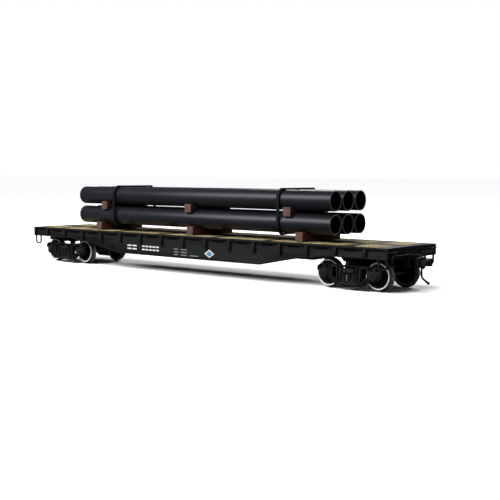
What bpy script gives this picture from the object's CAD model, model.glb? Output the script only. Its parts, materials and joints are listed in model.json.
"""Looks for the model flat car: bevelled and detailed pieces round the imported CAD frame.

Lengths inside this script are millimetres in the row frame unless a name says otherwise:
X along the car, Y across it, Z up, with z = 0 under the wheel flanges.
"""
import json
import random
from math import cos, pi, radians, sin, tan

import bmesh
import bpy
from mathutils import Matrix, Vector


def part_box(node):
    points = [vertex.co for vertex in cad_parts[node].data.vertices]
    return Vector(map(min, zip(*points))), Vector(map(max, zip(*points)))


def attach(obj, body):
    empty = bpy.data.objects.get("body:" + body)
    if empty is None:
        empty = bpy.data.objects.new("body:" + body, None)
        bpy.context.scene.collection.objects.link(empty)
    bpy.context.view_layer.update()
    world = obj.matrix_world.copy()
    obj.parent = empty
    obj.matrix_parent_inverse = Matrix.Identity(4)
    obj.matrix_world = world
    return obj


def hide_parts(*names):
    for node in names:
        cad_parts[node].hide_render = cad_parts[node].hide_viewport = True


MM = 0.001
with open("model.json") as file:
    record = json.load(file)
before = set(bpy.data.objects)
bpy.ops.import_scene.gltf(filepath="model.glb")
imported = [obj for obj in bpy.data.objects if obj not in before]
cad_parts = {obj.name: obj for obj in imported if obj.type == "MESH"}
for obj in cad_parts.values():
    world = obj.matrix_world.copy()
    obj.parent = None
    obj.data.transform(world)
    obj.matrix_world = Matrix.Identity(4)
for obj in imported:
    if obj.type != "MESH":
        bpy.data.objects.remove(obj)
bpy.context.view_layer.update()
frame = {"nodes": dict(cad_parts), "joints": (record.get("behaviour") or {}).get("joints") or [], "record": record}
JOINTS = {j["name"]: j for j in frame["joints"]}
BODY_OF = {n: b for b, names in frame["record"]["behaviour"]["bodies"].items() for n in names}
SLOT_OF = {s["node"]: s["material_slot"] for s in frame["record"]["subparts"]}
random.seed(7)


def span(node):
    """(lowest, highest) corner of a CAD node, in millimetres."""
    low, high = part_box(node)
    return low / MM, high / MM


def pivot(joint):
    """Where a hinge stands, in millimetres."""
    return Vector(JOINTS[joint]["pos_m"]) / MM


def put(name, data):
    """A new object with this data, linked to the scene."""
    made = bpy.data.objects.new(name, data)
    bpy.context.scene.collection.objects.link(made)
    return made


def mesh_of(bm, name):
    """A bmesh turned into a mesh."""
    mesh = bpy.data.meshes.new(name)
    bm.to_mesh(mesh)
    bm.free()
    return mesh


# ---- camera and light

LENS = 66.33
CAMERA_YAW = radians(39.72)
CAMERA_PITCH = radians(4.60)
CAMERA_ROLL = radians(0.276)
CAMERA_PLACE = Vector((456.74, -503.45, 71.39))


def make_camera():
    data = bpy.data.cameras.new("camera")
    data.lens = LENS
    data.sensor_width = 36
    data.clip_start = 0.01
    data.clip_end = 60
    camera = put("camera", data)
    look = Vector((-sin(CAMERA_YAW) * cos(CAMERA_PITCH), cos(CAMERA_YAW) * cos(CAMERA_PITCH),
            -sin(CAMERA_PITCH)))
    level = Vector((cos(CAMERA_YAW), sin(CAMERA_YAW), 0))
    upright = level.cross(look)
    right = cos(CAMERA_ROLL) * level + sin(CAMERA_ROLL) * upright
    up = -sin(CAMERA_ROLL) * level + cos(CAMERA_ROLL) * upright
    turn = Matrix((right, up, -look)).transposed()
    camera.matrix_world = Matrix.Translation(CAMERA_PLACE * MM) @ turn.to_4x4()
    bpy.context.scene.camera = camera


def add_light(data, place, target):
    """Links a light at place (mm), pointed at target (mm), and returns it."""
    light = put(data.name, data)
    light.location = Vector(place) * MM
    light.rotation_mode = "QUATERNION"
    light.rotation_quaternion = (Vector(target) - Vector(place)).to_track_quat("-Z", "Y")
    return light


def area_light(name, place, target, size, power, colour=(1, 1, 1)):
    """A rectangular softbox, size in mm."""
    data = bpy.data.lights.new(name, "AREA")
    data.shape = "RECTANGLE"
    data.size, data.size_y = size[0] * MM, size[1] * MM
    data.energy = power
    data.color = colour
    add_light(data, place, target)


def make_lights():
    """A broad overhead light that whitens the floor, softboxes round the car and a pale surround."""
    bpy.context.scene.view_settings.view_transform = "Standard"
    world = bpy.data.worlds.new("studio")
    bpy.context.scene.world = world
    world.use_nodes = True
    tree = world.node_tree
    surround = tree.nodes.new("ShaderNodeMix")
    surround.data_type = "RGBA"
    surround.inputs[6].default_value = (0.125, 0.13, 0.14, 1)
    surround.inputs[7].default_value = (1, 1, 1, 1)
    seen = tree.nodes.new("ShaderNodeLightPath").outputs["Is Camera Ray"]
    tree.links.new(seen, surround.inputs["Factor"])
    tree.links.new(surround.outputs[2], tree.nodes["Background"].inputs["Color"])
    overhead = bpy.data.lights.new("overhead", "SUN")
    overhead.energy = 3.1
    overhead.angle = radians(50)
    add_light(overhead, (-250, -300, 900), (0, 0, 0)).visible_glossy = False
    area_light("strip", (-260, -820, 640), (-80, 0, 45), (1150, 560), 24.0, (0.97, 0.98, 1.0))
    area_light("back", (-120, 820, 640), (0, 0, 40), (900, 300), 7.0)


# ---- materials

class Shader:
    """A procedural material: a Principled shader, with helpers that add what feeds it."""

    def __init__(self, name, rough, metallic=0.0, specular=0.5):
        self.material = bpy.data.materials.new(name)
        self.material.use_nodes = True
        self.tree = self.material.node_tree
        self.out = self.tree.nodes["Principled BSDF"]
        self.out.inputs["Roughness"].default_value = rough
        self.out.inputs["Metallic"].default_value = metallic
        self.out.inputs["Specular IOR Level"].default_value = specular
        self.coords = self.tree.nodes.new("ShaderNodeTexCoord").outputs["Object"]

    def node(self, kind, **sockets):
        made = self.tree.nodes.new("ShaderNode" + kind)
        for key, value in sockets.items():
            socket = made.inputs[int(key[1:])] if key[0] == "i" and key[1:].isdigit() else \
                made.inputs[key.replace("_", " ")]
            self.feed(socket, value)
        return made

    def feed(self, socket, value):
        if isinstance(value, bpy.types.NodeSocket):
            self.tree.links.new(value, socket)
        elif isinstance(value, (tuple, list)) and len(value) == 3 and socket.type == "RGBA":
            socket.default_value = (*value, 1)
        else:
            socket.default_value = value

    def noise(self, grain_mm, stretch=(1, 1, 1), detail=4.0, rough=0.55):
        """Noise whose features are about grain_mm across, drawn out by stretch."""
        scale = self.node("Mapping", Vector=self.coords)
        scale.inputs["Scale"].default_value = [1 / (grain_mm * MM * s) for s in stretch]
        made = self.node("TexNoise", Vector=scale.outputs[0], Scale=1.0, Detail=detail,
                Roughness=rough)
        return made.outputs["Fac"]

    def ramp(self, value, *stops):
        """A colour ramp with stops (place, colour or grey)."""
        made = self.node("ValToRGB", Fac=value)
        elements = made.color_ramp.elements
        while len(elements) < len(stops):
            elements.new(0.5)
        for element, (place, colour) in zip(elements, stops):
            element.position = place
            shade = colour if isinstance(colour, tuple) else (colour,) * 3
            element.color = (*shade, 1)
        return made.outputs["Color"]

    def mix(self, share, a, b, how="MIX"):
        made = self.tree.nodes.new("ShaderNodeMix")
        made.data_type = "RGBA"
        made.blend_type = how
        self.feed(made.inputs["Factor"], share)
        self.feed(made.inputs[6], a)
        self.feed(made.inputs[7], b)
        return made.outputs[2]

    def maths(self, operation, a, b=0.0):
        made = self.node("Math", i0=a, i1=b)
        made.operation = operation
        return made.outputs[0]

    def edges(self):
        """White along sharp outer edges of a dense mesh, black elsewhere."""
        point = self.node("NewGeometry").outputs["Pointiness"]
        return self.ramp(point, (0.51, 0.0), (0.56, 1.0))

    def normal_part(self, axis):
        """How far the surface faces along an axis, either way."""
        split = self.node("SeparateXYZ", Vector=self.node("NewGeometry").outputs["Normal"])
        return self.maths("ABSOLUTE", split.outputs[axis])

    def height(self, *layers):
        """Bump from (value, distance in mm, strength) layers, one over the other."""
        normal = None
        for value, distance, strength in layers:
            bump = self.node("Bump", Strength=strength, Distance=distance * MM, Height=value)
            if normal is not None:
                self.tree.links.new(normal, bump.inputs["Normal"])
            normal = bump.outputs["Normal"]
        self.tree.links.new(normal, self.out.inputs["Normal"])

    def paint(self, colour=None, rough=None):
        if colour is not None:
            self.feed(self.out.inputs["Base Color"], colour)
        if rough is not None:
            self.feed(self.out.inputs["Roughness"], rough)
        return self.material


def black_paint(name, base, worn, rough_low, rough_high, cast=0.0):
    """Near-black paint with soft mottling, rubbed edges and, if cast, a sandy skin."""
    s = Shader(name, rough_low, specular=0.07)
    patches = s.noise(9.0)
    fine = s.noise(0.35, detail=2.0)
    dark = tuple(c * 0.62 for c in base)
    colour = s.mix(s.ramp(patches, (0.35, 0.0), (0.7, 1.0)), dark, base)
    colour = s.mix(s.maths("MULTIPLY", s.edges(), 0.55), colour, worn)
    rough = s.ramp(patches, (0.3, rough_low), (0.75, rough_high))
    s.height((fine, 0.05, 0.25), (s.noise(0.9, detail=5.0), 0.12, cast))
    return s.paint(colour, rough)


def plank_wood(name):
    """Bare deck planks: each with its own tone, long grain across the car and grey wear."""
    s = Shader(name, 0.8, specular=0.10)
    tone = s.node("Attribute")
    tone.attribute_name = "tone"
    share = tone.outputs["Fac"]
    grain = s.noise(0.5, (1, 14, 1), detail=6.0, rough=0.65)
    broad = s.noise(7.0, (1, 3, 1))
    colour = s.ramp(share, (0.0, (0.150, 0.115, 0.055)), (0.5, (0.255, 0.210, 0.110)),
            (1.0, (0.350, 0.305, 0.182)))
    streak = s.ramp(grain, (0.33, (0.42, 0.36, 0.26)), (0.62, (1.0, 1.0, 1.0)))
    colour = s.mix(0.75, colour, streak, "MULTIPLY")
    colour = s.mix(s.ramp(broad, (0.52, 0.0), (0.75, 0.45)), colour, (0.16, 0.12, 0.065))
    s.height((grain, 0.10, 0.5))
    return s.paint(colour, s.ramp(grain, (0.3, 0.92), (0.7, 0.74)))


def stained_timber(name):
    """Reddish stained blocking with grain along the block and rings on its sawn ends."""
    s = Shader(name, 0.8, specular=0.12)
    grain = s.noise(0.55, (1, 12, 1), detail=6.0, rough=0.65)
    place = s.node("Mapping", Vector=s.coords)
    place.inputs["Scale"].default_value = (1 / (2.6 * MM), 0.0, 1 / (2.6 * MM))
    rings = s.node("TexWave", Vector=place.outputs[0], Scale=2.2, Distortion=3.5, Detail=2.0)
    rings.wave_type = "RINGS"
    rings.rings_direction = "Y"
    sawn = s.ramp(s.normal_part("Y"), (0.6, 0.0), (0.8, 1.0))
    colour = s.ramp(grain, (0.3, (0.045, 0.015, 0.011)), (0.65, (0.110, 0.036, 0.026)))
    end = s.ramp(rings.outputs["Fac"], (0.2, (0.056, 0.031, 0.027)), (0.8, (0.102, 0.060, 0.052)))
    end = s.mix(s.ramp(s.noise(1.2), (0.4, 0.0), (0.7, 0.5)), end, (0.045, 0.025, 0.021))
    s.height((grain, 0.12, 0.55), (rings.outputs["Fac"], 0.05, 0.25))
    return s.paint(s.mix(sawn, colour, end), 0.82)


def pipe_coating(name):
    """Blue-black coated steel pipe: faint lengthwise streaks, and bare worn metal at its rims."""
    s = Shader(name, 0.4, specular=0.22)
    streaks = s.noise(1.1, (60, 1, 1), detail=5.0)
    patches = s.noise(16.0, (3, 1, 1))
    rim = s.ramp(s.normal_part("X"), (0.55, 0.0), (0.85, 1.0))
    colour = s.ramp(patches, (0.3, (0.0038, 0.0040, 0.0060)), (0.75, (0.0062, 0.0065, 0.0092)))
    colour = s.mix(s.ramp(streaks, (0.55, 0.0), (0.8, 0.35)), colour, (0.014, 0.015, 0.019))
    colour = s.mix(rim, colour, s.ramp(s.noise(0.5), (0.3, 0.10), (0.7, 0.20)))
    s.height((s.noise(0.4, detail=2.0), 0.02, 0.25), (streaks, 0.02, 0.2))
    return s.paint(colour, s.ramp(patches, (0.3, 0.36), (0.75, 0.44)))


def turned_steel(name, colour, rough, side_share=1.0, metallic=1.0, face_from=0.0):
    """Turned metal, a little soiled; side_share darkens what doesn't face outwards along the axle.

    Faces nearer the middle of the axle than face_from (mm) are taken as sides too.
    """
    s = Shader(name, rough, metallic=metallic)
    soil = s.noise(3.0, detail=5.0)
    across = s.maths("ABSOLUTE", s.node("SeparateXYZ", Vector=s.coords).outputs["Y"])
    outer = s.maths("GREATER_THAN", across, face_from * MM)
    turned = s.maths("MULTIPLY", s.ramp(s.normal_part("Y"), (0.75, 0.0), (0.95, 1.0)), outer)
    faced = s.mix(turned, tuple(c * side_share for c in colour), colour)
    shade = s.mix(s.ramp(soil, (0.45, 0.0), (0.8, 0.4)), faced, tuple(c * 0.45 for c in colour))
    s.height((s.noise(0.25, detail=3.0), 0.01, 0.15))
    return s.paint(shade, s.ramp(soil, (0.35, rough), (0.8, rough + 0.16)))


def rubber(name):
    s = Shader(name, 0.6, specular=0.15)
    s.height((s.noise(0.25, detail=2.0), 0.03, 0.35))
    return s.paint(s.ramp(s.noise(2.5), (0.3, (0.005, 0.005, 0.005)), (0.7, (0.012, 0.012, 0.011))),
            s.ramp(s.noise(1.5), (0.3, 0.5), (0.7, 0.72)))


def printed(name, colour):
    """Printed marking, a little thin where the paint under it shows through."""
    s = Shader(name, 0.5, specular=0.2)
    thin = s.ramp(s.noise(0.4, detail=4.0), (0.35, 0.55), (0.55, 1.0))
    return s.paint(s.mix(thin, tuple(c * 0.5 for c in colour), colour), 0.5)


def studio_floor(name):
    """A near-white floor that throws back less light than it shows, so black paint stays black."""
    s = Shader(name, 0.7, specular=0.1)
    seen = s.node("LightPath").outputs["Is Camera Ray"]
    pale = s.ramp(s.noise(60.0), (0.3, 0.98), (0.7, 1.0))
    return s.paint(s.mix(seen, (0.09, 0.09, 0.09), pale), 0.7)


MATERIALS = {
    "body_black": black_paint("body_black", (0.0026, 0.0029, 0.0027), (0.012, 0.013, 0.012),
                              0.42, 0.58),
    "truck_black": black_paint("truck_black", (0.0034, 0.0033, 0.0032), (0.020, 0.019, 0.018),
                               0.46, 0.64, cast=0.35),
    "coupler_black": black_paint("coupler_black", (0.0028, 0.0027, 0.0026), (0.017, 0.016, 0.015),
                                 0.48, 0.66, cast=0.4),
    "strap_black": black_paint("strap_black", (0.0030, 0.0031, 0.0036), (0.010, 0.010, 0.012),
                               0.45, 0.60),
    "deck_wood": plank_wood("deck_wood"),
    "load_timber": stained_timber("load_timber"),
    "pipe_coat": pipe_coating("pipe_coat"),
    "wheel_steel": turned_steel("wheel_steel", (0.97, 0.97, 0.96), 0.2, side_share=0.12,
                                metallic=0.3, face_from=17.0),
    "axle_steel": turned_steel("axle_steel", (0.16, 0.16, 0.165), 0.34),
    "screw_steel": turned_steel("screw_steel", (0.36, 0.35, 0.33), 0.34),
    "hose_rubber": rubber("hose_rubber"),
}
PRINT_WHITE = printed("print_white", (0.55, 0.56, 0.55))
PRINT_GREY = printed("print_grey", (0.17, 0.175, 0.17))
PRINT_BLUE = printed("print_blue", (0.065, 0.17, 0.26))


# ---- making pieces

SMOOTH_BELOW = radians(32)
CAD_SHARP = radians(40)
PART_SHARP = 0.7
WELD_DISTANCE = 2e-7
FLAT_ANGLE = radians(0.6)


def finish_piece(name, mesh, material, body, slot, replaced=()):
    """Links a mesh as a piece that rides on a body, with its slot and the nodes it stands for."""
    piece = put(name, mesh)
    mesh.materials.clear()
    mesh.materials.append(material)
    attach(piece, body)
    if replaced:
        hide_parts(*replaced)


def smooth_by_angle(mesh):
    """Smooth shading, with sharp edges kept crisp."""
    mesh.shade_smooth()
    bm = bmesh.new()
    bm.from_mesh(mesh)
    for edge in bm.edges:
        edge.smooth = edge.is_manifold and edge.calc_face_angle(0) < SMOOTH_BELOW
    bm.to_mesh(mesh)
    bm.free()


def clean_copy(node):
    """A CAD node's shape as a bmesh with its flat faces made whole again."""
    bm = bmesh.new()
    bm.from_mesh(frame["nodes"][node].data)
    bmesh.ops.remove_doubles(bm, verts=bm.verts, dist=WELD_DISTANCE)
    bmesh.ops.dissolve_limit(bm, angle_limit=FLAT_ANGLE, verts=bm.verts, edges=bm.edges)
    return bm


def soften(bm, width, sharper_than):
    """Rounds the edges of a bmesh that are sharper than this angle."""
    sharp = [e for e in bm.edges if e.is_manifold and e.calc_face_angle(0) > sharper_than]
    bmesh.ops.bevel(bm, geom=sharp, offset=width, segments=2, profile=0.6, affect="EDGES",
            clamp_overlap=True)


def refine(node, width):
    """The CAD node again, with its sharp edges rounded to width (mm)."""
    bm = clean_copy(node)
    soften(bm, width * MM, CAD_SHARP)
    mesh = mesh_of(bm, node + "_shaped")
    smooth_by_angle(mesh)
    slot = SLOT_OF[node]
    finish_piece(mesh.name, mesh, MATERIALS[slot], BODY_OF[node], slot, [node])


def paint_cad(node):
    """Gives a CAD node the material of its slot."""
    data = frame["nodes"][node].data
    data.materials.clear()
    data.materials.append(MATERIALS[SLOT_OF[node]])


make_camera()
make_lights()
for cad_node in frame["nodes"]:
    paint_cad(cad_node)


# ---- shapes in millimetres

AXES = {"X": Vector((1, 0, 0)), "Y": Vector((0, 1, 0)), "Z": Vector((0, 0, 1))}


def aim(way):
    """Turns a shape drawn along Z so that it runs this way."""
    return AXES["Z"].rotation_difference(way).to_matrix().to_4x4()


def solids(node):
    """(lowest, highest) corner of each separate solid of a CAD node, in mm, from -X to +X."""
    bm = clean_copy(node)
    found, seen = [], set()
    for start in bm.verts:
        if start in seen:
            continue
        group, todo = [], [start]
        seen.add(start)
        while todo:
            vert = todo.pop()
            group.append(vert.co / MM)
            for edge in vert.link_edges:
                other = edge.other_vert(vert)
                if other not in seen:
                    seen.add(other)
                    todo.append(other)
        found.append((Vector(min(c[i] for c in group) for i in range(3)),
                Vector(max(c[i] for c in group) for i in range(3))))
    bm.free()
    return sorted(found, key=lambda box: (round(box[0].x, 2), box[0].y))


class Shape:
    """Bevelled boxes, bars, turned and extruded parts gathered into one piece.

    Where a place is set, what is drawn next is moved, turned or reflected by it.
    """

    def __init__(self):
        self.place = None
        self.bm = bmesh.new()
        self.tone = self.bm.faces.layers.float.new("tone")

    def add(self, part, bevel=0.0, tone=0.5):
        """Takes over a small bmesh, with its sharp edges rounded."""
        if bevel:
            soften(part, bevel, PART_SHARP)
        if self.place is not None:
            bmesh.ops.transform(part, matrix=self.place, verts=part.verts)
            if self.place.determinant() < 0:
                bmesh.ops.reverse_faces(part, faces=part.faces)
        copies = {v: self.bm.verts.new(v.co) for v in part.verts}
        for face in part.faces:
            made = self.bm.faces.new([copies[v] for v in face.verts])
            made[self.tone] = tone
        part.free()

    def box(self, low, high, bevel=0.12, tone=0.5):
        low, high = Vector(low), Vector(high)
        part = bmesh.new()
        bmesh.ops.create_cube(part, size=1.0)
        size = high - low
        for vert in part.verts:
            vert.co = (low + high) / 2 + Vector(c * s for c, s in zip(vert.co, size))
        self.add(part, bevel, tone)

    def turned(self, profile, centre, axis="Z", steps=32):
        """A closed profile of (along, radius) points turned about an axis through centre."""
        self.spin(profile, Matrix.Translation(Vector(centre)) @ aim(AXES[axis]), steps)

    def spin(self, profile, turn, steps):
        """A closed profile turned about Z, and then placed by turn."""
        part = bmesh.new()
        rings = []
        for height, radius in profile:
            if radius < 1e-6:
                rings.append([part.verts.new((0, 0, height))])
            else:
                rings.append([part.verts.new((radius * cos(a), radius * sin(a), height))
                              for a in (2 * pi * k / steps for k in range(steps))])
        pairs = list(zip(rings, rings[1:]))
        if len(rings[0]) > 1 or len(rings[-1]) > 1:
            pairs.append((rings[-1], rings[0]))
        for low, high in pairs:
            for k in range(steps):
                corners = [low[k % len(low)], low[(k + 1) % len(low)], high[(k + 1) % len(high)],
                        high[k % len(high)]]
                corners = list(dict.fromkeys(corners))
                if len(corners) > 2:
                    part.faces.new(corners)
        bmesh.ops.recalc_face_normals(part, faces=part.faces)
        bmesh.ops.transform(part, matrix=turn, verts=part.verts)
        self.add(part)

    def bar(self, start, end, radius, bevel=0.0, steps=20):
        """A round bar from start to end."""
        start, end = Vector(start), Vector(end)
        length = (end - start).length
        soft = min(bevel, radius * 0.6)
        profile = [(0, 0), (0, radius - soft), (soft, radius), (length - soft, radius),
                (length, radius - soft), (length, 0)]
        if not soft:
            profile = [(0, 0), (0, radius), (length, radius), (length, 0)]
        self.spin(profile, Matrix.Translation(start) @ aim(end - start), steps)

    def wire(self, points, radius, steps=12):
        """A round wire along a line of points."""
        points = [Vector(p) for p in points]
        part = bmesh.new()
        rings = []
        side = None
        for k, point in enumerate(points):
            ahead = points[min(k + 1, len(points) - 1)] - points[max(k - 1, 0)]
            ahead.normalize()
            if side is None:
                side = ahead.orthogonal().normalized()
            side = (side - ahead * side.dot(ahead)).normalized()
            across = ahead.cross(side)
            rings.append([part.verts.new(point + radius * (cos(a) * side + sin(a) * across))
                          for a in (2 * pi * k / steps for k in range(steps))])
        for low, high in zip(rings, rings[1:]):
            for k in range(steps):
                part.faces.new((low[k], low[(k + 1) % steps], high[(k + 1) % steps], high[k]))
        part.faces.new(reversed(rings[0]))
        part.faces.new(rings[-1])
        self.add(part)

    def prism(self, outline, axis, low, high, bevel=0.1):
        """An outline drawn in the two other axes, extruded along axis from low to high."""
        order = {"X": (1, 2), "Y": (0, 2), "Z": (0, 1)}[axis]
        part = bmesh.new()
        ends = []
        for level in (low, high):
            ring = []
            for u, v in outline:
                corner = Vector((level, level, level))
                corner[order[0]], corner[order[1]] = u, v
                ring.append(part.verts.new(corner))
            ends.append(ring)
        count = len(outline)
        part.faces.new(ends[0])
        part.faces.new(reversed(ends[1]))
        for k in range(count):
            part.faces.new((ends[0][k], ends[1][k], ends[1][(k + 1) % count],
                    ends[0][(k + 1) % count]))
        bmesh.ops.recalc_face_normals(part, faces=part.faces)
        self.add(part, bevel)

    def hexagon(self, centre, axis, across, height):
        """A chamfered hexagon bolt head standing on centre."""
        r = across / 2 / cos(pi / 6)
        self.turned([(0, 0), (0, r), (height * 0.75, r), (height, r * 0.8), (height, 0)], centre,
                axis, steps=6)

    def dome(self, centre, axis, radius, height, steps=12):
        """A low round rivet or bolt head standing on centre."""
        profile = [(0, 0), (0, radius), (height * 0.55, radius * 0.86),
                (height * 0.9, radius * 0.5), (height, 0)]
        self.turned(profile, centre, axis, steps=steps)

    def stand_in(self, name, node):
        """Makes the piece that stands for a CAD node."""
        self.beside(name, node, [node])

    def beside(self, name, node, replaced=(), slot=None, material=None):
        """Makes a piece on the body of a CAD node, in that node's slot unless told another."""
        bmesh.ops.scale(self.bm, vec=(MM, MM, MM), verts=self.bm.verts)
        mesh = mesh_of(self.bm, name)
        smooth_by_angle(mesh)
        slot = slot or SLOT_OF[node]
        finish_piece(name, mesh, material or MATERIALS[slot], BODY_OF[node], slot, replaced)


HERE = Matrix.Identity(4)
HALF_TURN = Matrix.Rotation(pi, 4, "Z")
BOTH_ENDS = (HERE, HALF_TURN)


def both_sides(place=HERE, axis="Y"):
    """The place as it is, and reflected along its axis."""
    return [place @ Matrix.Scale(side, 4, AXES[axis]) for side in (1, -1)]


CORNERS = [corner for end in BOTH_ENDS for corner in both_sides(end)]


# ---- lines and outlines

def rounded(points, radius, steps=5):
    """A line through points, with its corners turned into arcs of this radius."""
    points = [Vector(p) for p in points]
    line = [points[0]]
    for before, corner, after in zip(points, points[1:], points[2:]):
        back, on = (before - corner).normalized(), (after - corner).normalized()
        half = back.angle(on) / 2
        cut = radius / tan(half)
        centre = corner + (back + on).normalized() * radius / sin(half)
        start, end = corner + back * cut - centre, corner + on * cut - centre
        sweep = start.angle(end)
        for share in (k / steps for k in range(steps + 1)):
            line.append(centre + (sin((1 - share) * sweep) * start
                                  + sin(share * sweep) * end) / sin(sweep))
    return line + [points[-1]]


def strip(points, width):
    """The outline of a flat bar of this width along a line of flat points, mitred at its bends."""
    points = [Vector(p) for p in points]
    ways = [(b - a).normalized() for a, b in zip(points, points[1:])]
    near, far = [], []
    for k, point in enumerate(points):
        before, after = ways[max(k - 1, 0)], ways[min(k, len(ways) - 1)]
        both = before + after
        side = Vector((-both.y, both.x)).normalized()
        reach = width / 2 / side.dot(Vector((-after.y, after.x)))
        near.append(point + side * reach)
        far.append(point - side * reach)
    return near + far[::-1]


def soft_outline(points, radius):
    """A closed outline with its corners turned into arcs of this radius."""
    seam = (Vector(points[-1]) + Vector(points[0])) / 2
    return rounded([seam, *points, seam], radius, steps=4)[:-1]


def both_halves(half):
    """A whole outline from the half on the positive side, listed from the axis and back to it."""
    return half + [(-u, v) for u, v in reversed(half) if u > 0]


def across(half):
    """A whole line from its positive half, listed outwards from the axis."""
    return [(-u, v) for u, v in reversed(half) if u > 0] + half


def shifted(u, v, *points):
    """Flat points that are given from (u, v)."""
    return [(u + du, v + dv) for du, dv in points]


def arc(centre, radius, start, end, steps):
    """Flat points along an arc, with its angles in degrees."""
    turns = (radians(start + (end - start) * k / steps) for k in range(steps + 1))
    return [(centre[0] + radius * cos(a), centre[1] + radius * sin(a)) for a in turns]


# ---- deck

PLANK_WIDTH = 2.9
PLANK_GAP = 0.16


def make_planks(side):
    """Separate planks in the recesses of one side, with a bolt at each plank's two ends."""
    planks, bolts = Shape(), Shape()
    for low, high in solids("deck_panels_" + side):
        count = round((high.x - low.x) / PLANK_WIDTH)
        step = (high.x - low.x) / count
        for k in range(count):
            x = low.x + k * step
            drop = random.uniform(0.0, 0.09)
            shift = random.uniform(-0.05, 0.05)
            planks.box((x + PLANK_GAP / 2, low.y + shift, low.z),
                       (x + step - PLANK_GAP / 2, high.y + shift, high.z - drop),
                       bevel=0.13, tone=random.random())
            for y in (low.y + 1.1, high.y - 1.1):
                bolts.dome((x + step / 2, y, high.z - drop), "Z", 0.34, 0.14, steps=10)
    planks.stand_in("planks_" + side, "deck_panels_" + side)
    bolts.beside("plank_bolts_" + side, "deck_frame")


# ---- load

PIPE_WALL = 0.8


def make_pipes(row):
    """Three round pipes with softened rims."""
    node = "pipes_" + row
    low, high = span(node)
    radius = (high.z - low.z) / 2
    inner = radius - PIPE_WALL
    pitch = (high.y - low.y) / 2 - radius
    length = high.x - low.x
    soft = 0.14
    profile = [(0, inner + soft), (0, radius - soft), (soft * 0.3, radius - soft * 0.3),
            (soft, radius), (length - soft, radius), (length - soft * 0.3, radius - soft * 0.3),
            (length, radius - soft), (length, inner + soft), (length - soft, inner), (soft, inner)]
    shape = Shape()
    for k in (-1, 0, 1):
        shape.turned(profile, (low.x, k * pitch, (low.z + high.z) / 2), "X", steps=96)
    shape.stand_in(node + "_turned", node)


# ---- wheels and axles

FLANGE_HEIGHT = 1.2


def make_wheelset(k):
    """Cast plates and bright turned rims for the two wheels of an axle, on its own body."""
    node = f"wheels_{k}"
    low, high = span(node)
    flange = (high.z - low.z) / 2
    tread = flange - FLANGE_HEIGHT
    centre = Vector(((low.x + high.x) / 2, 0, (low.z + high.z) / 2))
    half = (high.y - low.y) / 2
    back = half - 4.8
    rim_inner = 7.35
    face = half - 0.3
    tyre = [
        (back, rim_inner + 0.15),
        *shifted(back, flange, (0, -0.75), (0.12, -0.35), (0.35, -0.08), (0.62, 0), (0.9, -0.1),
                 (1.12, -0.42)),
        *shifted(back, tread, (1.28, 0.38), (1.5, 0.12), (1.9, 0.04)),
        *shifted(face, tread, (-0.5, -0.1), (-0.18, -0.2), (0, -0.42)),
        *shifted(face, rim_inner, (0, 0.35), (-0.12, 0.18), (-0.4, 0)),
        (back + 0.2, rim_inner)]
    plate = [
        *shifted(back, 0, (0.2, 1.6), (0.2, 2.9), (0.35, 3.1), (1.25, 3.5), (1.75, 4.6), (1.75, 6.2),
                 (1.1, 7.0)),
        (back + 0.7, rim_inner + 0.1), (face - 0.9, rim_inner + 0.1),
        *shifted(face, 0, (-1.35, 7.0), (-1.75, 6.4), (-1.75, 4.7), (-1.2, 3.7), (-0.1, 3.25)),
        *shifted(half, 0, (-0.05, 3.05), (0, 2.9), (0, 1.6))]
    rims, plates = Shape(), Shape()
    for rims.place in both_sides(Matrix.Translation(centre)):
        plates.place = rims.place
        rims.turned(tyre, (0, 0, 0), "Y", steps=128)
        plates.turned(plate, (0, 0, 0), "Y", steps=96)
    rims.stand_in(f"wheel_rims_{k}", node)
    plates.beside(f"wheel_plates_{k}", node, slot="truck_black")


AXLE_Z = pivot("wheelset_1_spin").z
AXLE_DX = (pivot("wheelset_4_spin").x - pivot("wheelset_3_spin").x) / 2
TREAD_R = AXLE_Z - FLANGE_HEIGHT
CAP_IN = 24.25


def make_axle(k):
    """One axle with its wheel seats and journals, and the bolted caps on its ends."""
    x = pivot(f"wheelset_{k}_spin").x
    half = [(0, 1.3), (12.4, 1.38), (13.4, 1.6), (19.2, 1.6), (19.4, 1.22), (CAP_IN - 0.15, 1.22),
            (CAP_IN, 1.1), (CAP_IN, 0)]
    shaft, caps = Shape(), Shape()
    shaft.turned([(-u, r) for u, r in reversed(half[1:])] + half, (x, 0, AXLE_Z), "Y", steps=48)
    rim = [(0, 0), (0, 2.5), (0.34, 2.5), (0.5, 2.3), (0.5, 0.72), (0.36, 0.6), (0.36, 0)]
    for caps.place in both_sides(Matrix.Translation((x, 0, AXLE_Z))):
        caps.turned(rim, (0, CAP_IN, 0), "Y", steps=40)
        for angle in (90, 210, 330):
            turn = radians(angle)
            bolt = (1.42 * cos(turn), CAP_IN + 0.45, 1.42 * sin(turn))
            caps.hexagon(bolt, "Y", 0.85, 0.36)
    shaft.stand_in(f"axle_turned_{k}", f"axle_{k}")
    caps.stand_in(f"bearing_cap_bolted_{k}", f"bearing_caps_{k}")


# ---- trucks

FRAME_IN = 20.2
FRAME_WEB = 22.0
FRAME_FACE = 23.8
SPRING_PLACES = (-3.7, 0, 3.7)
SPRING_Y = 22.2
BEAM_X, BEAM_Z = 6.9, 9.6


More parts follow.
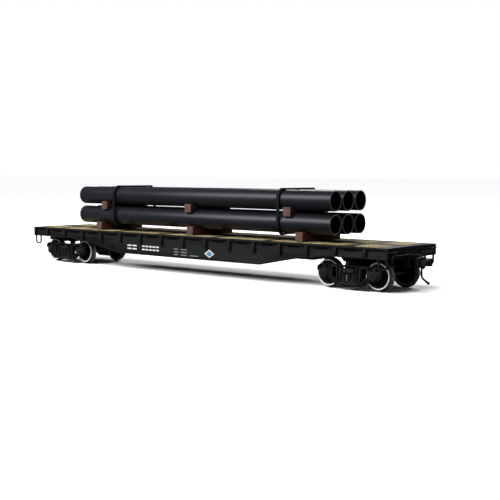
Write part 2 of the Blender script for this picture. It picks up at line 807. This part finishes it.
def side_frame(shape, place):
    """One cast side frame: a recessed web inside raised flanges, pedestals and a spring seat."""
    shape.place = place
    a = AXLE_DX
    chord = [(0, 14.6), (11.4, 14.4), (14.2, 13.6), (a - 3.3, 12.2), (a + 3.3, 12.2),
            (a + 3.6, 11.2), (a + 4.9, 11.2), (a + 5.3, 12), (a + 5.3, 14.2), (a + 3.9, 15.5),
            (a + 1, 16.1), (14, 16.1), (8, 15.8), (0, 15.8)]
    seat = [(0, 3), (8.4, 3), (10.4, 3.8), (15.4, 7.4), (15.4, 8.8), (14.2, 9.4), (13.2, 8.8),
            (9, 5.6), (8.4, 5.2), (0, 5.2)]
    column = [(5.7, 5), (8.6, 5), (9.4, 14.8), (5.7, 14.8)]
    jaws = [[(a - 5.2, 7.6), (a - 2.9, 7.2), (a - 2.9, 13.8), (a - 5.9, 14.4)],
            [(a + 2.9, 7.6), (a + 4.5, 8.2), (a + 4.9, 12.4), (a + 2.9, 13)]]
    for outline in (both_halves(chord), both_halves(seat)):
        shape.prism(outline, "Y", FRAME_IN, FRAME_WEB, 0.12)
    top_rib = rounded([(0, 15.42), (8, 15.42), (14, 15.72), (a + 1, 15.72), (a + 3.7, 15.15),
            (a + 4.9, 14), (a + 4.9, 11.6)], 0.7, steps=3)
    low_rib = rounded([(0, 3.4), (8.3, 3.4), (10.2, 4.2), (15.0, 7.65), (15.0, 8.7)], 0.6, steps=3)
    inner_rib = rounded([(0, 4.85), (8.6, 4.85), (9.3, 5.3), (14.2, 9.0)], 0.5, steps=3)
    for line in (top_rib, low_rib, inner_rib):
        line = across([tuple(p) for p in line])
        shape.prism(strip(line, 0.75), "Y", FRAME_IN + 0.1, FRAME_FACE, 0.14)
    for shape.place in both_sides(place, "X"):
        shape.prism(column, "Y", FRAME_IN, FRAME_WEB + 0.4, 0.12)
        for jaw in jaws:
            shape.prism(jaw, "Y", FRAME_IN, FRAME_WEB + 0.9, 0.2)
        for line in ([(6.05, 5.0), (6.05, 14.9)], [(8.2, 5.0), (9.0, 14.9)],
                [(9.0, 14.75), (11.5, 14.75), (14.3, 13.95), (a - 3.3, 12.58), (a + 3.5, 12.58)],
                [(a - 3.25, 7.4), (a - 3.25, 12.6)], [(a + 3.25, 7.8), (a + 3.25, 12.6)]):
            shape.prism(strip(line, 0.7), "Y", FRAME_IN + 0.1, FRAME_FACE, 0.14)
        for z in (6.6, 8.6, 10.6, 12.6):
            shape.hexagon((7.3, FRAME_WEB + 0.3, z), "Y", 0.9, 0.55)
        for x, z in ((a - 2.2, 14.2), (a + 2.2, 14.2), (10.9, 15.1)):
            shape.dome((x, FRAME_WEB - 0.1, z), "Y", 0.45, 0.45)
        # the bearing in its adapter
        shape.turned([(FRAME_IN, 1.3), (FRAME_IN, 3.2), (21.2, 3.2), (21.4, 2.95), (22.0, 2.95),
                (22.2, 3.25), (23.4, 3.25), (23.7, 3.0), (24.0, 3.0), (24.0, 1.3)], (a, 0, AXLE_Z),
                "Y", steps=48)
        shape.box((a - 2.9, FRAME_IN, AXLE_Z + 2.2), (a + 2.9, FRAME_FACE - 0.5, 13), 0.2)
        shape.box((a - 1.0, FRAME_WEB, 13.2), (a + 1.0, FRAME_FACE - 0.6, 15.0), 0.2)
    shape.place = place
    shape.box((-6.6, FRAME_IN - 0.1, 3.7), (6.6, FRAME_FACE + 0.5, 4.8), 0.2)
    for x in SPRING_PLACES:
        shape.turned([(0, 1.62), (0, 1.85), (0.35, 1.8), (0.35, 1.62)], (x, SPRING_Y, 5.1),
                steps=28)


def make_truck(end):
    """Side frames, coil springs, brake gear and bolster ends of the truck at end a or b."""
    centre = Matrix.Translation((pivot(f"truck_{end}_swivel").x, 0, 0))
    frames, springs, brakes, bolster = Shape(), Shape(), Shape(), Shape()
    low, high = span("truck_springs_" + end)
    for place in both_sides(centre):
        side_frame(frames, place)
        springs.place = bolster.place = place
        for x in SPRING_PLACES:
            for radius, wire, turns, hand in ((1.44, 0.38, 5, 1), (0.72, 0.30, 6, -1)):
                count = turns * 14
                coil = [(x + radius * cos(hand * 2 * pi * k / 14),
                         SPRING_Y + radius * sin(hand * 2 * pi * k / 14),
                         low.z + wire + (high.z - low.z - 2 * wire) * k / count)
                        for k in range(count + 1)]
                springs.wire(coil, wire, steps=8)
        for x in (-3.9, 3.9):
            bolster.box((x - 0.4, 23.9, 11.5), (x + 0.4, 24.5, 13.8), 0.12)
        for z in (11.75, 13.5):
            bolster.box((-4.2, 23.9, z - 0.3), (4.2, 24.4, z + 0.3), 0.12)
        for brakes.place in both_sides(place, "X"):
            shoe = (arc((AXLE_DX, AXLE_Z), TREAD_R + 0.45, 164, 199, 10)
                    + arc((AXLE_DX, AXLE_Z), TREAD_R + 1.35, 199, 164, 10))
            head = (arc((AXLE_DX, AXLE_Z), TREAD_R + 1.3, 169, 194, 6)
                    + [(6.9, 8.7), (6.3, 9.2), (6.3, 10.0), (6.9, 10.5)])
            brakes.prism(shoe, "Y", 16.2, 18.6, 0.12)
            brakes.prism(head, "Y", 16.7, 18.1, 0.15)
            brakes.bar((BEAM_X, -0.01, BEAM_Z), (BEAM_X, FRAME_IN, BEAM_Z), 0.62, 0.1)
            brakes.wire([(BEAM_X, 17.2, BEAM_Z), (5.6, 2.0, 9.2), (5.6, 0, 9.2)], 0.36)
            brakes.box((5.3, -0.01, 8.7), (7.3, 0.7, 10.3), 0.12)
    frames.stand_in("side_frames_cast_" + end, "side_frames_" + end)
    springs.stand_in("coil_springs_" + end, "truck_springs_" + end)
    brakes.stand_in("brake_gear_" + end, "truck_brakes_" + end)
    bolster.beside("bolster_ends_" + end, "truck_bolster_" + end)


# ---- body details

WEB_FACE = 28.3
BODY_END = span("deck_frame")[1].x
SILL_UNDER = 21.2
HANGER_XS = [(low.x + high.x) / 2 for low, high in solids("cross_bearers") if low.y + high.y > 0]


def make_sill_steps():
    """Flat bar stirrups with rounded corners, bolted to the side sills at all four corners."""
    low, high = solids("sill_steps")[-1]
    shape = Shape()
    bar = 1.25
    line = rounded([(low.x + bar / 2, SILL_UNDER + 2.6), (low.x + bar / 2, low.z + bar / 2),
            (high.x - bar / 2, low.z + bar / 2), (high.x - bar / 2, SILL_UNDER + 2.6)], 1.5)
    for shape.place in CORNERS:
        shape.prism(strip(line, bar), "Y", 27.9, 28.95, 0.25)
        for x in (low.x + bar / 2, high.x - bar / 2):
            for z in (21.9, 23.1):
                shape.dome((x, 28.93, z), "Y", 0.36, 0.26)
    shape.stand_in("stirrup_steps", "sill_steps")


def make_end_wires():
    """Bent wire grab irons and cut levers, with their feet and brackets."""
    grabs, levers = Shape(), Shape()
    rail = span("grab_irons")
    bar_x = rail[1].x - 0.35
    bar_z = (rail[0].z + rail[1].z) / 2
    low, high = span("uncoupling_levers")
    rod_x = BODY_END + 2.2
    rod_z = 23.6
    for grabs.place in CORNERS:
        line = [(BODY_END - 0.3, 20.5, bar_z), (bar_x, 20.5, bar_z), (bar_x, 28.5, bar_z),
                (BODY_END - 0.3, 28.5, bar_z)]
        grabs.wire(rounded(line, 0.6), 0.35)
        for y in (20.5, 28.5):
            grabs.turned([(0, 0), (0, 0.75), (0.22, 0.68), (0.22, 0)], (BODY_END - 0.02, y, bar_z),
                    "X", steps=20)
    for levers.place in BOTH_ENDS:
        line = [(rod_x, -27.8, low.z + 0.4), (rod_x, -27.8, rod_z), (rod_x, -4.4, rod_z),
                (high.x - 0.4, -4.4, rod_z)]
        levers.wire(rounded(line, 1.1), 0.4)
        levers.dome((rod_x, -27.8, low.z + 0.45), "Z", 0.42, -0.45)
        levers.wire([(high.x - 0.5, -4.4, rod_z), (high.x - 0.5, -4.4, rod_z - 1.2)], 0.34)
        for y in (-24, -8):
            levers.box((BODY_END - 0.05, y - 0.5, rod_z - 1.3),
                       (BODY_END + 0.35, y + 0.5, rod_z + 1.3), 0.1)
            levers.turned([(-0.5, 0.38), (-0.5, 0.95), (0.5, 0.95), (0.5, 0.38)], (rod_x, y, rod_z),
                    "Y", steps=24)
            levers.box((BODY_END + 0.2, y - 0.4, rod_z - 0.35),
                       (rod_x - 0.6, y + 0.4, rod_z + 0.35), 0.1)
    grabs.stand_in("grab_iron_wires", "grab_irons")
    levers.stand_in("cut_levers", "uncoupling_levers")


def make_air_lines():
    """Angle cocks, and the moulded hoses that hang from them and end in coupling heads."""
    cocks, hoses, heads = Shape(), Shape(), Shape()
    x, y, z = BODY_END + 1.8, 8.2, 19.6
    bend_z, bend_r, lean = 10.1, 3.4, radians(56)
    tip = Vector((sin(lean), 0, -cos(lean)))
    bend = [(x + bend_r - bend_r * cos(lean * k / 8), y, bend_z - bend_r * sin(lean * k / 8))
            for k in range(1, 9)]
    finish = Vector(bend[-1])
    line = [(x, y, 18.4), (x, y, bend_z + 3)] + [(x, y, bend_z)] + bend + [finish + tip * 3.6]
    for place in BOTH_ENDS:
        cocks.place = hoses.place = place
        cocks.bar((BODY_END - 1.3, y, z), (x + 0.2, y, z), 0.75, 0.1)
        cocks.turned([(0, 0.5), (0, 1.15), (0.2, 1.25), (1.0, 1.25), (1.2, 1.15), (1.2, 0.5)],
                (BODY_END + 0.3, y, z), "X", steps=28)
        cocks.turned([(-1.3, 0), (-1.3, 0.98), (-0.9, 1.05), (0.2, 1.05), (0.62, 0.7), (0.7, 0)],
                (x, y, z), "Z", steps=28)
        cocks.hexagon((x, y, z - 1.5), "Z", 1.9, 0.5)
        cocks.bar((BODY_END + 1.2, y, z + 0.8), (BODY_END + 1.2, y, z + 2.5), 0.34, 0.05)
        handle = rounded([(BODY_END + 1.2, y - 0.3, z + 2.5), (BODY_END + 1.2, y + 1.2, z + 2.5),
                (BODY_END + 1.2, y + 2.7, z + 2.0)], 0.6)
        cocks.wire(handle, 0.3)
        hoses.wire(line, 0.68, steps=16)
        for level, width in ((17.6, 0.9), (10.9, 0.84), (9.9, 0.84)):
            hoses.turned([(0, 0.6), (0, width), (0.45, width), (0.45, 0.6)], (x, y, level),
                    steps=20)
        heads.place = place @ Matrix.Translation(finish + tip * 3.2) @ aim(tip)
        heads.turned([(0, 0), (0, 0.8), (0.25, 0.92), (0.7, 0.92), (0.9, 0.8), (1.1, 0.95),
                (1.5, 0.9), (1.65, 0.7), (1.65, 0)], (0, 0, 0), steps=24)
    cocks.stand_in("angle_cock_castings", "angle_cocks")
    hoses.stand_in("air_hose_rubber", "air_hoses")
    heads.beside("hose_heads", "angle_cocks")


def make_brake_equipment():
    """Cylinder, reservoir and control valve under the floor, with flanges, bolts and straps."""
    cylinder, tank, valve = Shape(), Shape(), Shape()
    floor = span("brake_cylinder")[1].z
    y, z = 15.5, 20.2
    cylinder.turned([(-50, 0), (-50, 2.6), (-49.6, 3.2), (-49, 3.4), (-38.2, 3.4), (-38.2, 3.8),
            (-37.1, 3.8), (-37.1, 3.3), (-36.2, 3.1), (-35.5, 2.0), (-35.4, 0.7), (-34.8, 0.6),
            (-34.8, 0)], (0, y, z), "X", steps=64)
    cylinder.bar((-35, y, z), (-31.9, y, z), 0.55, 0.1)
    for k in range(8):
        angle = radians(22.5 + 45 * k)
        spot = (-37.15, y + 3.4 * cos(angle), z + 3.4 * sin(angle))
        cylinder.hexagon(spot, "X", 0.62, 0.4)
    for x in (-47.5, -41.5):
        cylinder.box((x, y - 2.2, z + 1), (x + 1.2, y + 2.2, floor - 0.8), 0.15)
    cylinder.box((-49, y - 2.6, floor - 0.9), (-39, y + 2.6, floor), 0.15)
    cylinder.stand_in("brake_cylinder_cast", "brake_cylinder")
    y, z = -16, 20.4
    dome = arc((0, 0), 1, 90, 0, 8)
    left = [(-49.5 - 1.8 * u, 3.9 * v) for u, v in reversed(dome)]
    right = [(-32.3 + 1.6 * u, 3.9 * v) for u, v in dome]
    tank.turned([(u, max(v, 0)) for u, v in left + right], (0, y, z), "X", steps=64)
    for x in (-46.3, -41, -35.3):
        tank.turned([(0, 3.85), (0, 4.12), (0.7, 4.12), (0.7, 3.85)], (x - 0.35, y, z), "X",
                steps=64)
    for x in (-46.3, -35.3):
        for side in (1, -1):
            tank.box((x - 0.5, y + side * 3.1 - 0.25, z + 2.2),
                     (x + 0.5, y + side * 3.1 + 0.25, floor), 0.08)
    tank.bar((-41, y, z - 3.9), (-41, y, z - 4.2), 0.5, 0.08)
    tank.stand_in("air_reservoir_tank", "air_reservoir")
    valve_x, y = 6.2, -15
    valve.box((4, y - 2.4, 20), (8.4, y + 2.4, 24.4), 0.3)
    valve.box((3, y - 1.2, 24.3), (9.4, y + 1.2, floor), 0.15)
    for place, valve.place in zip(both_sides(Matrix.Translation((valve_x, y, 22.3)), "X"),
            both_sides(Matrix.Translation((valve_x, y, 22)))):
        valve.turned([(2.2, 0), (2.2, 1.7), (3.6, 1.7), (3.6, 1.9), (4.0, 1.9), (4.2, 1.6),
                (4.4, 0.8), (4.4, 0)], (0, 0, 0), "Y", steps=40)
        for k in range(6):
            angle = radians(60 * k)
            valve.hexagon((1.5 * cos(angle), 3.95, 1.5 * sin(angle)), "Y", 0.5, 0.35)
        valve.place = place
        valve.turned([(2, 0), (2, 1.3), (3.6, 1.3), (3.6, 1.5), (4.2, 1.5), (4.4, 1.2), (4.4, 0)],
                (0, 0, 0), "X", steps=32)
    valve.place = None
    valve.turned([(18.6, 0), (18.6, 1.0), (18.9, 1.3), (20.1, 1.3), (20.1, 0)], (valve_x, y, 0),
            steps=28)
    valve.stand_in("control_valve_cast", "control_valve")


def make_brake_rods():
    """Live lever on the cylinder's rod, two pull rods with forked ends, and their wire hangers."""
    rods = Shape()
    low, high = span("brake_rods")
    lever_x, lever_z = -30.7, 14.7
    rods.prism(strip([(lever_x, 6.8), (lever_x, 19.2)], 1.6), "Z", lever_z - 0.35, lever_z + 0.35,
            bevel=0.15)
    rods.box((lever_x - 1.2, 14.6, lever_z + 0.2), (lever_x - 0.5, 16.4, 21.2), 0.12)
    for y in (8.0, 11.6, 15.5):
        rods.bar((lever_x, y, lever_z - 0.6), (lever_x, y, lever_z + 1.6), 0.5, 0.1)
    for y, x0, x1 in ((8.0, low.x, lever_x), (11.6, lever_x, high.x)):
        z = lever_z + 1.0
        rods.bar((x0, y, z), (x1, y, z), 0.46, 0.05, steps=14)
        for x in (x0, x1):
            inward = 1 if x == x0 else -1
            rods.box((min(x, x + inward * 3), y - 0.55, z - 0.55),
                    (max(x, x + inward * 3), y + 0.55, z + 0.55), 0.12)
    for x in HANGER_XS:
        y = 8.0 if x < lever_x else 11.6
        if low.x < x < high.x:
            line = [(x, y - 0.75, 17.9), (x, y - 0.75, lever_z + 0.25),
                    (x, y + 0.75, lever_z + 0.25), (x, y + 0.75, 17.9)]
            rods.wire(rounded(line, 0.5), 0.25, steps=8)
    rods.stand_in("brake_rigging", "brake_rods")


def make_coupler(end):
    """A knuckle coupler: shank, rounded head with its guard arm and lugs, pin, and the knuckle."""
    head, knuckle = Shape(), Shape()
    head.place = knuckle.place = HALF_TURN if end == "a" else HERE
    low, high = span("coupler_b")
    pin = pivot("knuckle_b_open")
    face = span("knuckle_b")[1].x
    middle = pivot("coupler_b_swing").z
    root = pivot("coupler_b_swing").x
    k_low, k_high = span("knuckle_b")
    head.prism([(root + 1.5, -1.5), (face - 8.8, -1.5), (face - 7.6, -2.6), (face - 7.6, 2.6),
            (face - 8.8, 1.5), (root + 1.5, 1.5)], "Z", middle - 1.5, middle + 1.5, 0.3)
    head.turned([(-1.5, 1.2), (-1.5, 2.4), (-1.3, 2.6), (1.3, 2.6), (1.5, 2.4), (1.5, 1.2)],
            (root, 0, middle), steps=48)
    body = soft_outline(shifted(face, 0, (-8.9, -3.3), (-6.4, -4.5), (-6.0, -3.0), (-6.0, 3.2),
                                (-6.4, 4.4), (-8.9, 3.3)), 0.5)
    head.prism(body, "Z", low.z + 0.7, high.z - 1.0, 0.4)
    guard = soft_outline(shifted(face, 0, (-7.0, 2.0), (-4.4, 2.3), (-2.5, 3.1), (-1.2, 4.4),
                                 (-2.1, 4.9), (-4.4, 4.6), (-7.0, 4.3)), 0.4)
    head.prism(guard, "Z", middle - 2.6, middle + 2.5, 0.35)
    lug = soft_outline([(face - 6.8, -4.3), (pin.x + 0.6, -4.4), (pin.x + 1.5, -2.7),
            (pin.x + 0.9, -1.1), (face - 6.8, -0.6)], 0.6)
    head.prism(lug, "Z", low.z + 0.5, k_low.z - 0.35, 0.2)
    head.prism(lug, "Z", k_high.z + 0.35, high.z - 0.6, 0.25)
    head.turned([(low.z, 0), (low.z, 0.6), (low.z + 0.2, 0.8), (high.z - 0.5, 0.8),
            (high.z - 0.5, 1.15), (high.z - 0.2, 1.1), (high.z, 0.6), (high.z, 0)],
            (pin.x, pin.y, 0), steps=28)
    head.box((face - 8.4, -1.0, high.z - 1.4), (face - 6.9, 1.0, high.z - 0.5), 0.2)
    nose = soft_outline(shifted(pin.x, pin.y, (-0.1, -1.6), (2.7, -1.9), (3.9, -1.1))
                        + shifted(face, pin.y, (0, 0.6), (-0.2, 2.5), (-1.1, 2.9), (-1.8, 2.2),
                                  (-2.0, 0.9), (-2.8, 0.6))
                        + [(pin.x + 0.2, pin.y + 1.5)], 0.3)
    knuckle.prism(nose, "Z", k_low.z, k_high.z, 0.3)
    knuckle.turned([(k_low.z, 0.9), (k_low.z, 1.4), (k_low.z + 0.1, 1.5), (k_high.z - 0.1, 1.5),
            (k_high.z, 1.4), (k_high.z, 0.9)], (pin.x, pin.y, 0), steps=40)
    head.stand_in("coupler_head_" + end, "coupler_" + end)
    knuckle.stand_in("knuckle_cast_" + end, "knuckle_" + end)


def make_brake_wheel():
    """A dished handwheel with five spokes, and its shaft and bracket."""
    wheel, bracket = Shape(), Shape()
    low, high = span("brake_wheel")
    x, y, z = -BODY_END - 5, (low.y + high.y) / 2, (low.z + high.z) / 2
    radius = (high.z - low.z) / 2
    rim = [(0.5 * sin(2 * pi * k / 12), radius - 0.5 + 0.5 * cos(2 * pi * k / 12))
           for k in range(12)]
    wheel.turned(rim, (x, y, z), "X", steps=64)
    wheel.turned([(-0.7, 0), (-0.7, 0.8), (-0.5, 1), (0.5, 1.15), (0.7, 1.0), (0.7, 0)], (x, y, z),
            "X", steps=28)
    for k in range(5):
        turn = radians(90 + 72 * k)
        way = Vector((0, cos(turn), sin(turn)))
        middle = Vector((x, y, z))
        wheel.wire([middle + way * 0.8, middle + way * 2.4 + Vector((0.35, 0, 0)),
                middle + way * 3.9 + Vector((0.35, 0, 0)), middle + way * (radius - 0.5)], 0.34,
                steps=10)
    wheel.hexagon((x - 0.7, y, z), "X", 0.9, -0.35)
    wheel.stand_in("brake_handwheel", "brake_wheel")
    bracket.bar((x + 0.6, y, z), (-BODY_END - 1.3, y, z), 0.6, 0.05)
    bracket.box((-BODY_END - 1.3, y - 2.2, z - 2.4), (-BODY_END, y + 2.2, z + 2.4), 0.25)
    bracket.turned([(0, 0), (0, 1.5), (-0.5, 1.35), (-0.6, 1.1), (-0.6, 0)],
            (-BODY_END - 1.3, y, z), "X", steps=32)
    for dy, dz in ((-1.6, -1.8), (1.6, -1.8), (-1.6, 1.8), (1.6, 1.8)):
        bracket.hexagon((-BODY_END - 1.3, y + dy, z + dz), "X", 0.7, -0.3)
    bracket.stand_in("brake_wheel_mount", "brake_wheel_bracket")


def make_rivets():
    """Rivets and bolts on the sills, pockets, end sills and draft covers, and bars in the anchors."""
    sides, ends, anchors = Shape(), Shape(), Shape()
    pockets = [(low + high) / 2 for low, high in solids("stake_pockets_right")]
    pitch = pockets[1].x - pockets[0].x
    for sides.place in both_sides():
        anchors.place = sides.place
        for spot in pockets:
            for dx in (-1.75, 1.75):
                for z in (22.6, 26.2):
                    sides.dome((spot.x + dx, WEB_FACE - 0.02, z), "Y", 0.3, 0.2, steps=10)
            for x0, x1 in ((-2.1, -1.18), (1.18, 2.1)):
                sides.box((spot.x + x0, WEB_FACE - 0.05, 22.0), (spot.x + x1, WEB_FACE + 0.12,
                        26.8), 0.04)
        for k in range(len(pockets) - 1):
            x = pockets[k].x + pitch / 2
            for dx in (-2.2, 0, 2.2):
                anchors.bar((x + dx, WEB_FACE - 0.3, 25.0), (x + dx, WEB_FACE - 0.3, 26.3), 0.22,
                        0.03, steps=12)
            for dx in (-5.6, 5.6):
                sides.dome((x + dx, WEB_FACE - 0.02, 25.6), "Y", 0.26, 0.18, steps=10)
        for x in range(-66, 67, 3):
            sides.dome((x, WEB_FACE - 0.02, 13.95), "Y", 0.22, 0.16, steps=8)
    for ends.place in CORNERS:
        for z, first, count in ((21.9, 11.5, 6), (26.6, 9.5, 4)):
            for k in range(count):
                ends.dome((BODY_END - 0.02, first + 3.0 * k, z), "X", 0.27, 0.2, steps=10)
        for z in (16.4, 22.2):
            ends.dome((BODY_END + 1.18, 5.4, z), "X", 0.36, 0.26)
        for x in (151, 160.5, 166.5):
            ends.hexagon((x, 4.7, 15.8), "Z", 0.9, -0.4)
        for x in (165.2, 166.9):
            ends.dome((x, 24.4, 28.48), "Z", 0.3, 0.02, steps=10)
    sides.beside("sill_rivets", "side_sill_left")
    anchors.beside("anchor_bars", "side_sill_left")
    ends.beside("end_rivets", "end_sills")


def make_markings():
    """Plain bars and a plain lozenge where a railway would letter its car, on both sides and ends."""
    white, grey, blue = Shape(), Shape(), Shape()
    face = -WEB_FACE - 0.04
    tiles = [(-58.5, 4.4), (-52.9, 4.4), (-42.6, 2.8), (-38.9, 2.8), (-35.2, 2.8), (-31.5, 2.8),
            (-27.8, 2.8)]
    data = [(-9.5, 18.2, 4.2), (-2.6, 18.2, 6.0), (-9.5, 16.2, 5.0), (-2.6, 16.2, 6.0),
            (-9.5, 14.2, 4.2), (-2.6, 14.2, 6.0), (6.4, 14.2, 8.0)]
    for white.place in BOTH_ENDS:
        grey.place = blue.place = white.place
        for x, width in tiles:
            white.box((x, face, 15.9), (x + width, -WEB_FACE + 0.02, 16.9), 0.02)
            white.box((x, face, 18.3), (x + width, -WEB_FACE + 0.02, 19.3), 0.02)
        for x, z, width in data:
            grey.box((x, face, z), (x + width, -WEB_FACE + 0.02, z + 0.6), 0.02)
        white.prism([(20.4, 16.9), (25, 19.8), (29.6, 16.9), (25, 14.0)], "Y", face,
                -WEB_FACE + 0.02, 0.02)
        blue.prism([(21.7, 16.9), (25, 19.0), (28.3, 16.9), (25, 14.8)], "Y", face - 0.03,
                face + 0.01, 0.01)
        for k in range(5):
            y = 12.2 + 2.7 * k
            grey.box((BODY_END - 0.02, y, 23.6), (BODY_END + 0.05, y + 1.6, 24.4), 0.02)
    for shape, name, paint in ((white, "bars", PRINT_WHITE), (grey, "dashes", PRINT_GREY),
            (blue, "lozenge", PRINT_BLUE)):
        shape.beside("marking_" + name, "side_sill_left", material=paint)


# ---- floor

def make_floor():
    """A pale floor that runs far out behind the car."""
    bm = bmesh.new()
    corners = [bm.verts.new((x, y, 0)) for x, y in ((-25, -4), (25, -4), (25, 40), (-25, 40))]
    bm.faces.new(corners)
    floor = put("studio_floor", mesh_of(bm, "studio_floor"))
    floor.rotation_euler.z = CAMERA_YAW
    floor.data.materials.append(studio_floor("studio_floor"))


make_floor()
for side_name in ("left", "right"):
    make_planks(side_name)
for row_name in ("lower", "upper"):
    make_pipes(row_name)
for wheelset in (1, 2, 3, 4):
    make_wheelset(wheelset)
    make_axle(wheelset)
for truck_end in ("a", "b"):
    make_truck(truck_end)
    make_coupler(truck_end)
make_sill_steps()
make_end_wires()
make_air_lines()
make_brake_equipment()
make_brake_rods()
make_brake_wheel()
make_rivets()
make_markings()

SOFTENED = {
    0.12: ("deck_frame", "side_sill_left", "side_sill_right", "end_sills", "center_sill",
           "cross_bearers", "body_bolsters", "draft_boxes", "draft_box_covers", "floor_stringers",
           "stake_pockets_left", "stake_pockets_right", "timber_blocks", "timber_spacers"),
    0.20: ("straps", "truck_bolster_a", "truck_bolster_b"),
    0.06: ("kingpins", "coupler_pivot_screws"),
}
for softness, names in SOFTENED.items():
    for cad_node in names:
        refine(cad_node, softness)
